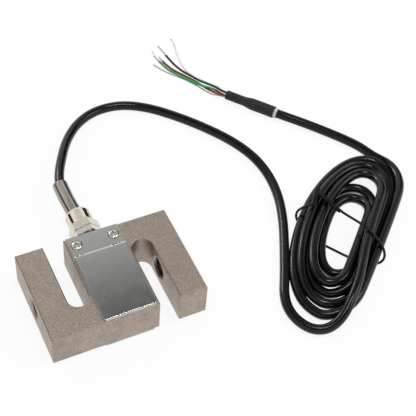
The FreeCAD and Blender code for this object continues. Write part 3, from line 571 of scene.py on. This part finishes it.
def wrung_strand(name, first_angle):
    """One of the two ends that turn about each other, from this angle on."""
    points = []
    for i in range(WRUNG_STEPS + 1):
        angle = first_angle + 2 * math.pi * WRUNG_TURNS * i / WRUNG_STEPS
        points.append(WRUNG_START.lerp(WRUNG_END, i / WRUNG_STEPS)
                      + WRUNG_RADIUS * (math.cos(angle) * beside + math.sin(angle) * above))
    return tie_strand(name, points)


tie_pieces = [tie_loop, tie_end,
              wrung_strand("tie_wrung_a", 0), wrung_strand("tie_wrung_b", math.pi)]
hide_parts("twist_tie")
print("tie pieces", len(tie_pieces))

# %% [markdown]
# ## What the cable is
#
# A curve doesn't say that it is a soft cord; here the pieces on the cable are only counted.

print("pieces on the cable", 3 + len(tie_pieces))

# %% [markdown]
# ## Wires
#
# Four insulated wires and a bare drain wire leave the boot's end.  Each is
# a curve of its own that starts square to the boot and falls to the table.

# %% Wires from the boot
BOOT_LENGTH = 0.0292
BOOT_SIDE = Vector((-BOOT_WAY.y, BOOT_WAY.x, 0))
WIRE_DIAMETER, DRAIN_DIAMETER = 0.0013, 0.0008


def boot_end(beside, above, past=0.0):
    """A point at the boot's end or past it, in mm off its axis."""
    return (BOOT_START + BOOT_WAY * (BOOT_LENGTH + past / 1000)
            + BOOT_SIDE * beside / 1000 + Vector((0, 0, above / 1000)))


WIRES = [
    ("red", red_pvc, (1.45, 0.2), 3.0, [
        (105.6, 107.6, 1.4), (103.4, 112.4, 0.7), (101.0, 117.7, 0.7), (98.2, 123.0, 0.7),
        (94.6, 128.6, 0.7), (91.5, 133.8, 0.7), (89.7, 138.6, 0.7), (88.9, 142.6, 0.7)]),
    ("green", green_pvc, (-0.5, -1.4), 3.0, [
        (106.9, 108.3, 2.1), (103.7, 111.8, 2.45), (100.2, 115.6, 1.75), (97.0, 120.9, 1.6),
        (94.2, 125.4, 1.55), (91.2, 130.2, 1.2), (88.9, 135.1, 0.7), (87.8, 139.6, 0.7),
        (87.0, 143.2, 0.7)]),
    ("black", black_pvc, (0.0, 1.45), 3.0, [
        (106.3, 109.5, 4.2), (103.8, 114.2, 3.1), (100.9, 119.2, 2.25), (98.7, 123.9, 2.1),
        (96.4, 129.6, 1.0), (94.4, 135.8, 0.7), (93.3, 141.6, 0.7), (92.7, 146.5, 0.7)]),
    ("white", white_pvc, (-1.5, 0.2), 3.2, [
        (110.1, 108.9, 2.0), (109.5, 112.2, 0.8), (107.2, 115.2, 0.7), (104.5, 118.6, 0.7),
        (101.4, 122.5, 0.7), (99.1, 127.4, 0.7), (98.1, 132.8, 0.7), (98.2, 138.4, 0.7),
        (98.9, 143.8, 0.7), (99.9, 148.8, 0.7)]),
]
for colour, material, root, straight, route in WIRES:
    points = [boot_end(*root), boot_end(*root, straight)] + [mm(*p) for p in route]
    wire = cord_curve("wire_" + colour + "_curve", points, WIRE_DIAMETER, material, sides=3)
    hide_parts("wire_" + colour)
    length = curve_length(wire)
    print("wire", colour, round(1000 * length, 1), "mm")

# %% The bare drain wire
DRAIN = [
    (103.9, 107.6, 0.5), (101.7, 111.6, 0.45), (99.9, 115.4, 0.45), (96.9, 120.8, 0.45),
    (94.0, 125.2, 0.45), (91.3, 128.6, 0.45), (88.2, 132.4, 0.45), (85.2, 136.9, 0.45),
    (83.0, 141.9, 0.45),
]
drain_points = [boot_end(0.75, -1.5), boot_end(0.75, -1.5, 3.0)] + [mm(*p) for p in DRAIN]
drain = cord_curve("drain_wire_curve", drain_points, DRAIN_DIAMETER, tinned_copper, sides=3)
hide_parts("drain_wire")
drain_length = curve_length(drain)
print("drain wire", round(1000 * drain_length, 1), "mm")

# %% [markdown]
# ## Studio: the table and the room
#
# The object stands on a white table that meets a white room without an
# edge.  Light Path tells the shaders which rays come straight from the
# camera or off a mirror.  Those see a full white; the rays that light the
# object see a plain, weaker white, so that nothing is lit too strongly.

# %% Table
WHITE = "FFFFFF"
TABLE_GLOW = 0.88       # how much of the table's white is its own, for eye and mirrors
table_paint = new_material("white_table")
rays = add_node(table_paint, "ShaderNodeLightPath")
lit = add_node(table_paint, "ShaderNodeBsdfDiffuse", {"Color": linear("F6F6F6")})
glow = add_node(table_paint, "ShaderNodeEmission", {"Color": linear(WHITE), "Strength": 1.0})
eye_or_mirror = add_node(table_paint, "ShaderNodeMath", {
    0: rays.outputs["Is Camera Ray"], 1: rays.outputs["Is Glossy Ray"]}, operation="MAXIMUM")
seen = add_node(table_paint, "ShaderNodeMath", {
    0: eye_or_mirror.outputs["Value"], 1: TABLE_GLOW}, operation="MULTIPLY")
table_mix = add_node(table_paint, "ShaderNodeMixShader", {
    0: seen.outputs["Value"], 1: lit.outputs["BSDF"], 2: glow.outputs["Emission"]})
add_node(table_paint, "ShaderNodeOutputMaterial", {"Surface": table_mix.outputs["Shader"]})


def stage_plane(name, size, material, place, upright=False):
    """A flat part of the studio, its size and place in metres."""
    bm = bmesh.new()
    bmesh.ops.create_grid(bm, x_segments=1, y_segments=1, size=0.5)
    bmesh.ops.scale(bm, vec=(size[0], size[1], 1), verts=bm.verts)
    if upright:
        bmesh.ops.rotate(bm, matrix=Matrix.Rotation(math.pi / 2, 3, "Y"), verts=bm.verts)
    bmesh.ops.translate(bm, vec=place, verts=bm.verts)
    mesh = bpy.data.meshes.new(name)
    bm.to_mesh(mesh)
    bm.free()
    mesh.materials.append(material)
    plane = bpy.data.objects.new(name, mesh)
    bpy.context.scene.collection.objects.link(plane)
    return plane


table = stage_plane("table", (4, 4), table_paint, (0, 0, 0))
print("table in m", [round(v, 2) for v in table.dimensions])

# %% Room
ROOM_LIGHT = 0.55       # strength of the white that lights the object

room = bpy.data.worlds.new("white_room")
room.use_nodes = True
room.node_tree.nodes.clear()
bpy.context.scene.world = room
rays = add_node(room, "ShaderNodeLightPath")
mirror_rays = add_node(room, "ShaderNodeMath", {
    0: rays.outputs["Is Glossy Ray"], 1: rays.outputs["Is Transmission Ray"]}, operation="MAXIMUM")
bright_rays = add_node(room, "ShaderNodeMath", {
    0: mirror_rays.outputs["Value"], 1: rays.outputs["Is Camera Ray"]}, operation="MAXIMUM")
soft_light = add_node(room, "ShaderNodeBackground", {"Color": linear(WHITE), "Strength": ROOM_LIGHT})
background = add_node(room, "ShaderNodeBackground", {"Color": linear(WHITE), "Strength": 1.0})
room_mix = add_node(room, "ShaderNodeMixShader", {
    0: bright_rays.outputs["Value"], 1: soft_light.outputs["Background"],
    2: background.outputs["Background"]})
add_node(room, "ShaderNodeOutputWorld", {"Surface": room_mix.outputs["Shader"]})
print("room ready")

# %% [markdown]
# ## Studio: cards for the metal to reflect
#
# A mirror in a white room is white.  Studios hang dark cards where the
# metal looks, and these three do the same: one overhead, which fades to
# a lighter grey towards the back, and one upright at each side.  Only
# mirror rays see them, so they neither shade the object nor show.


# %% Cards
def card_paint(name, dark, light, start, end):
    """Grey that fades from dark to light between two places along Y, in m."""
    material = new_material(name)
    place = add_node(material, "ShaderNodeTexCoord")
    parts = add_node(material, "ShaderNodeSeparateXYZ", {"Vector": place.outputs["Object"]})
    fade = add_node(material, "ShaderNodeMapRange", {
        "Value": parts.outputs["Y"], "From Min": start, "From Max": end},
        interpolation_type="SMOOTHSTEP")
    colour = add_node(material, "ShaderNodeMix", {
        0: fade.outputs["Result"], 6: linear(dark), 7: linear(light)}, data_type="RGBA")
    glow = add_node(material, "ShaderNodeEmission", {"Color": colour.outputs[2]})
    add_node(material, "ShaderNodeOutputMaterial", {"Surface": glow.outputs["Emission"]})
    return material


def only_in_mirrors(card):
    """Hide a card from every ray but those that come off something glossy."""
    card.visible_camera = card.visible_diffuse = False
    card.visible_shadow = card.visible_transmission = False


overhead_paint = card_paint("grey_overhead_card", "686868", "E0E0E0", 0.70, 1.0)
side_paint = card_paint("dark_side_card", "262626", "2C2C2C", 0.0, 1.5)
only_in_mirrors(stage_plane("overhead_card", (2.4, 2.6), overhead_paint, (0.1, -0.2, 1.25)))
only_in_mirrors(stage_plane("left_card", (0.62, 1.6), side_paint, (-1.3, 0.9, 0.31),
                            upright=True))
only_in_mirrors(stage_plane("right_card", (1.0, 1.6), side_paint, (1.4, 1.0, 0.5),
                            upright=True))
print("cards hung")

# %% [markdown]
# ## Studio: lamps
#
# The white room gives about half of the light and hardly any shadow.  Three
# soft boxes, which are area lamps in Blender, give the rest: a long narrow
# one overhead, a low one behind on the left, and a larger one in front on
# the right.  A spot or a small sun would throw hard shadows instead.


# %% Lamps
def area_lamp(name, place, aim_at, size, power):
    """A rectangular lamp of this size in metres and power in watts."""
    lamp = bpy.data.objects.new(name, bpy.data.lights.new(name, "AREA"))
    lamp.data.shape = "RECTANGLE"
    lamp.data.size, lamp.data.size_y = size
    lamp.data.energy = power
    lamp.location = place
    lamp.rotation_mode = "QUATERNION"
    lamp.rotation_quaternion = (aim_at - place).to_track_quat("-Z", "Y")
    bpy.context.scene.collection.objects.link(lamp)


OBJECT_MIDDLE = mm(65, 35, 0)
area_lamp("overhead", Vector((0.1, -0.05, 1.15)), OBJECT_MIDDLE, (0.5, 0.14), 4)
area_lamp("back_left", Vector((-0.27, 1.1, 0.56)), OBJECT_MIDDLE, (0.35, 0.16), 3)
area_lamp("front_right", Vector((0.8, -0.4, 0.8)), OBJECT_MIDDLE, (0.6, 0.4), 3)

bpy.context.scene.view_settings.view_transform = "Standard"
print("lamps", len(bpy.data.lights))
